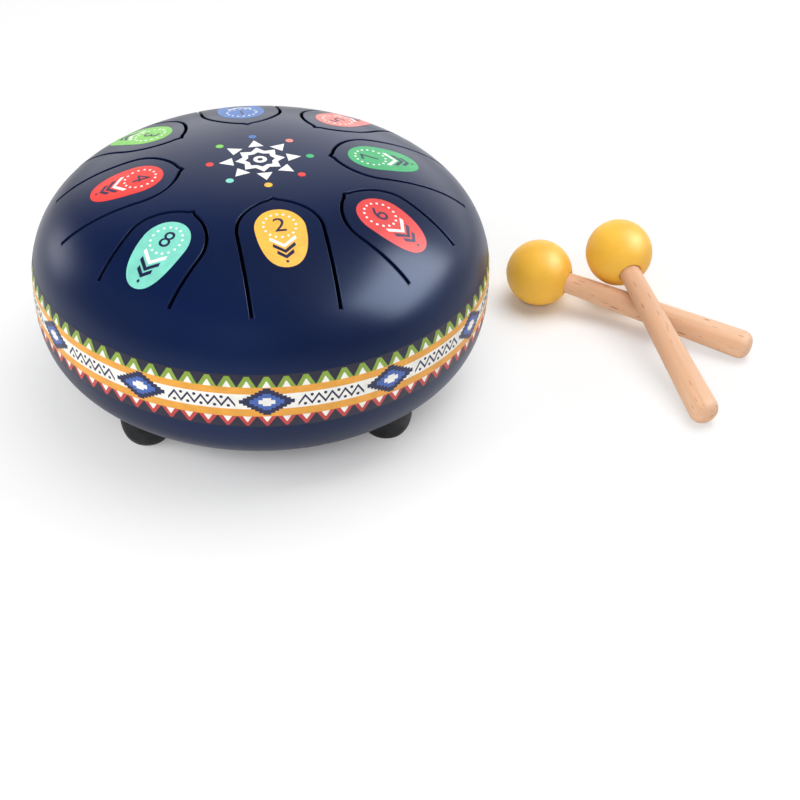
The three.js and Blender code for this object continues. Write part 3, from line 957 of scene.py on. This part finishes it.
def nutModel():  # a hexagon whose corners are turned off
    low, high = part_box("foot_nut_1")
    corner = (high.x - low.x) / 2
    bpy.ops.object.select_all(action="DESELECT")
    bpy.ops.mesh.primitive_cylinder_add(
        vertices=6, radius=corner, depth=high.z - low.z, location=(0, 0, (low.z + high.z) / 2),
        rotation=(0, 0, turn / 12),
    )
    nut = applyPlace(bpy.context.active_object)
    edge, fall = fastener["nutEdge"] * mm, fastener["nutFall"] * mm
    outer = corner + fastener["nutCorner"] * mm
    shape = [
        (0, low.z), (corner - edge, low.z), (outer, low.z + fall), (outer, high.z - fall),
        (corner - edge, high.z), (0, high.z),
    ]
    cutWith(nut, turned("nutShape", shape, fastener["steps"]), "INTERSECT")
    bore = cylinder(fastener["nutBore"] * mm, low.z - mm, high.z + mm)
    cutWith(nut, turned("nutBore", bore, fastener["boreSteps"]))
    return smooth(nut, 25)


def buildFasteners(metal):
    models = {"screw": screwModel(), "washer": washerModel(), "nut": nutModel()}
    for index, place in enumerate(footPlaces, 1):
        for kind, model in models.items():
            piece = twin(model, Matrix.Translation((place.x, place.y, 0)))
            piece.name = f"foot{kind.title()}{index}"
            finishPiece(piece, metal, "drum", "zinc_steel", f"foot_{kind}_{index}")
    for model in models.values():
        remove(model)
    print("fasteners:", 3 * len(footPlaces))


# Mallets

mallet = {
    "ball": 16, "boreDepth": 13, "bore": 5.15, "mouth": 0.6, "neck": 5, "neckEdge": 0.3, "glue": 0.15,
    "reach": 107.85, "butt": 6.72, "rounding": 5.5, "fullness": 0.75,  # the butt's end, 1 is an ellipse
    "ballSteps": 60, "sideSteps": 40, "endSteps": 24, "steps": 96, "grainShift": 0.37,
}


def handleLine(node):  # the ball's centre and the handle's direction, from the handle's solid
    spots = np.array([v.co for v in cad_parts[node].data.vertices], float)
    spots = np.unique(np.round(spots, 6), axis=0)
    middle = spots.mean(0)
    along = np.linalg.svd(spots - middle, full_matrices=False)[2][0]
    head = node.replace("handle", "head")
    towardsBall = np.array(sum(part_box(head), Vector()) / 2) - middle
    if along @ towardsBall > 0:
        along = -along
    neckEnd = middle + along * ((spots - middle) @ along).min()
    centre = neckEnd - along * (mallet["ball"] - mallet["boreDepth"] + mallet["glue"]) * mm
    return Vector(centre), Vector(along)


def ballProfile():
    radius, bore, mouth = mallet["ball"], mallet["bore"], mallet["mouth"]
    opening = math.asin((bore + mouth) / radius)
    angles = between(math.pi, opening, mallet["ballSteps"])
    skin = [(radius * math.sin(a), radius * math.cos(a)) for a in angles]
    lipHeight = radius * math.cos(opening) - mouth
    seat = radius - mallet["boreDepth"]
    return [(r * mm, z * mm) for r, z in skin + [(bore, lipHeight), (bore, seat), (0, seat)]]


def handleProfile():
    radius, neck, butt, edge = mallet["ball"], mallet["neck"], mallet["butt"], mallet["neckEdge"]
    start = radius - mallet["boreDepth"] + mallet["glue"]
    roundStart = mallet["reach"] - mallet["rounding"]
    heights = between(radius, roundStart, mallet["sideSteps"])
    sides = [(neck + (butt - neck) * (z - radius) / (roundStart - radius), z) for z in heights]
    end = [
        (butt * math.cos(a) ** mallet["fullness"], roundStart + mallet["rounding"] * math.sin(a))
        for a in between(0, turn / 4, mallet["endSteps"])[1:-1]
    ]
    points = [(0, start), (neck - edge, start), (neck, start + edge)] + sides + end + [(0, mallet["reach"])]
    return [(r * mm, z * mm) for r, z in points]


def keepGrain(obj, shift):  # stores each point's place on the lathe, for the grain to follow
    grain = obj.data.attributes.new("grain", "FLOAT_VECTOR", "POINT")
    spots = np.array([v.co for v in obj.data.vertices], np.float32) + np.float32(shift)
    grain.data.foreach_set("vector", spots.ravel())


def buildMallets(paint, wood):
    for index, name in enumerate(("a", "b")):
        centre, along = handleLine(f"mallet_{name}_handle")
        place = Matrix.Translation(centre) @ along.to_track_quat("Z", "Y").to_matrix().to_4x4()
        for part, profile, material, slot in (
            ("head", ballProfile(), paint, "ball_paint"), ("handle", handleProfile(), wood, "beech"),
        ):
            piece = turned(f"mallet{name.upper()}{part.title()}", profile, mallet["steps"])
            keepGrain(piece, mallet["grainShift"] * index)
            smooth(putAt(piece, place), 40)
            finishPiece(piece, material, f"mallet_{name}", slot, f"mallet_{name}_{part}")
    print("mallets: 2")


# Camera, as the photograph was taken

def addCamera():
    view = {
        "lens": 72, "sensor": 36, "back": 0.6034, "height": 0.4337,
        "yaw": 0.104, "pitch": 0.646, "roll": 0.035,
    }
    sy, cy = math.sin(view["yaw"]), math.cos(view["yaw"])
    sp, cp = math.sin(view["pitch"]), math.cos(view["pitch"])
    forward = Vector((sy * cp, cy * cp, -sp))
    right = Vector((cy, -sy, 0))
    up = right.cross(forward)
    sr, cr = math.sin(view["roll"]), math.cos(view["roll"])
    right, up = cr * right + sr * up, cr * up - sr * right
    data = bpy.data.cameras.new("camera")
    data.lens = view["lens"]
    data.sensor_width = view["sensor"]
    camera = bpy.data.objects.new("camera", data)
    bpy.context.collection.objects.link(camera)
    turnTo = Matrix((right, up, -forward)).transposed().to_4x4()
    camera.matrix_world = Matrix.Translation(drumAxis + Vector((0, -view["back"], view["height"]))) @ turnTo
    bpy.context.scene.camera = camera


# White studio: reflections see a bright back wall, a pale horizon and a dim ceiling and left corner,
# and the camera sees plain white. The floor is partly plain white too, so that its shadows stay light,
# except under the drum and close to the balls

studio = {
    "dim": 0.12, "back": 2.0, "backFrom": (0.0, 0.75), "leftDim": 0.15, "leftFrom": (-0.62, -0.28),
    "horizon": 1.0, "horizonFrom": (0.0, 0.2),
    "floor": "#f2f2f2", "floorRoughness": 0.9, "floorGloss": 0.1, "floorSize": 60, "floorDrop": 0.05 * mm,
    "plainWhite": 0.5, "mirroredWhite": 0.06,
    "underDrum": (0.045, 0.105), "byBalls": (0.015, 0.055), "farFloor": (0.35, 1.0),
    "lamps": (  # name, place, size, strength in watts, seen by: the colours, the gloss or both
        ("keyBox", (0.35, 0.20, 1.15), (1.1, 1.1), 13.0, "colours"),
        ("fillBox", (-0.25, -1.20, 0.95), (0.9, 0.6), 9.5, "colours"),
        ("leftBox", (-1.15, -0.35, 0.75), (0.8, 0.6), 8.0, "colours"),
        ("rightGloss", (0.76, -0.04, 0.63), (0.76, 0.62), 18.0, "gloss"),
        ("leftGloss", (-0.84, 0.50, 0.22), (0.30, 0.30), 1.2, "gloss"),
    ),
}


def addLamps():
    for name, place, size, power, seenBy in studio["lamps"]:
        data = bpy.data.lights.new(name, "AREA")
        data.shape = "RECTANGLE"
        data.size, data.size_y = size
        data.energy = power
        lamp = bpy.data.objects.new(name, data)
        bpy.context.collection.objects.link(lamp)
        lamp.location = drumAxis + Vector(place)
        lamp.rotation_euler = (-Vector(place)).to_track_quat("-Z", "Y").to_euler()
        lamp.visible_glossy = seenBy != "colours"
        lamp.visible_diffuse = seenBy != "gloss"


def addWorld():
    world = bpy.data.worlds.new("studioWorld")
    bpy.context.scene.world = world
    world.use_nodes = True
    tree = world.node_tree

    def graded(value, lowAndHigh, first, last):
        low, high = lowAndHigh
        node = tree.nodes.new("ShaderNodeMapRange")
        node.interpolation_type = "SMOOTHSTEP"
        tree.links.new(value, node.inputs["Value"])
        for name, number in (("From Min", low), ("From Max", high), ("To Min", first), ("To Max", last)):
            node.inputs[name].default_value = number
        return node.outputs[0]

    way = tree.nodes.new("ShaderNodeSeparateXYZ")
    tree.links.new(tree.nodes.new("ShaderNodeTexCoord").outputs["Generated"], way.inputs[0])
    backwards = tree.nodes.new("ShaderNodeMath")
    backwards.operation = "SUBTRACT"
    tree.links.new(way.outputs["Y"], backwards.inputs[0])
    tree.links.new(way.outputs["Z"], backwards.inputs[1])
    lit = graded(backwards.outputs[0], studio["backFrom"], studio["dim"], studio["back"])
    corner = graded(way.outputs["X"], studio["leftFrom"], studio["leftDim"], 1)
    horizon = graded(way.outputs["Z"], studio["horizonFrom"], studio["horizon"], 0)
    rays = tree.nodes.new("ShaderNodeLightPath").outputs
    for operation, other in (
        ("MULTIPLY", corner), ("MAXIMUM", horizon),
        ("MAXIMUM", rays["Is Camera Ray"]), ("MAXIMUM", rays["Is Transmission Ray"]),
    ):
        node = tree.nodes.new("ShaderNodeMath")
        node.operation = operation
        tree.links.new(lit, node.inputs[0])
        tree.links.new(other, node.inputs[1])
        lit = node.outputs[0]
    background = tree.nodes["Background"]
    background.inputs["Color"].default_value = (1, 1, 1, 1)
    tree.links.new(lit, background.inputs["Strength"])


def addFloor():
    bpy.ops.object.select_all(action="DESELECT")
    bpy.ops.mesh.primitive_plane_add(size=studio["floorSize"], location=(0, 0, -studio["floorDrop"]))
    floor = bpy.context.active_object
    floor.name = "floor"
    s = Shading("floorPaper", Roughness=studio["floorRoughness"], Specular_IOR_Level=studio["floorGloss"])
    s.shader.inputs["Emission Color"].default_value = (1, 1, 1, 1)
    rays = s.node("LightPath").outputs

    def maths(operation, first, second):
        return s.node("Math", {"operation": operation}, i0=first, i1=second).outputs[0]

    def rising(centre, nearAndFar, first, last):  # with the distance from a point of the floor
        away = s.node("VectorMath", {"operation": "DISTANCE"}, i0=s.coordinates, i1=centre)
        return s.eased(away.outputs["Value"], *nearAndFar, first, last)

    # Painted light: the floor's plain white glow lightens its shadows. It fades towards the drum and goes
    # out under it and close to the balls, which paints deeper shade there
    white = rising(drumAxis, studio["farFloor"], studio["plainWhite"], 1.0)
    clear = rising(drumAxis, studio["underDrum"], 0.0, 1.0)
    # the glow goes out round each ball's foot, a painted contact shadow
    for name in ("a", "b"):
        centre = handleLine(f"mallet_{name}_handle")[0]
        below = (centre.x, centre.y, 0)
        clear = maths("MULTIPLY", clear, rising(below, studio["byBalls"], 0.0, 1.0))
    seen = maths("MULTIPLY", maths("MAXIMUM", rays["Is Camera Ray"], rays["Is Transmission Ray"]), white)
    mirrored = maths("MULTIPLY", rays["Is Glossy Ray"], studio["mirroredWhite"])
    share = maths("MULTIPLY", maths("MAXIMUM", seen, mirrored), clear)
    s.to("Base Color", s.mix(share, linear(studio["floor"]), (0, 0, 0, 1)))
    s.to("Emission Strength", share)
    floor.data.materials.append(s.material)


paint = satinPaint()
addCamera()
addLamps()
addWorld()
addFloor()
buildTopShell(paint)
buildBottomShell(paint)
printDrum()
buildFeet(rubber())
buildFasteners(zincPlate())
buildMallets(ballPaint(), beech())

bpy.context.scene.view_settings.view_transform = "Standard"
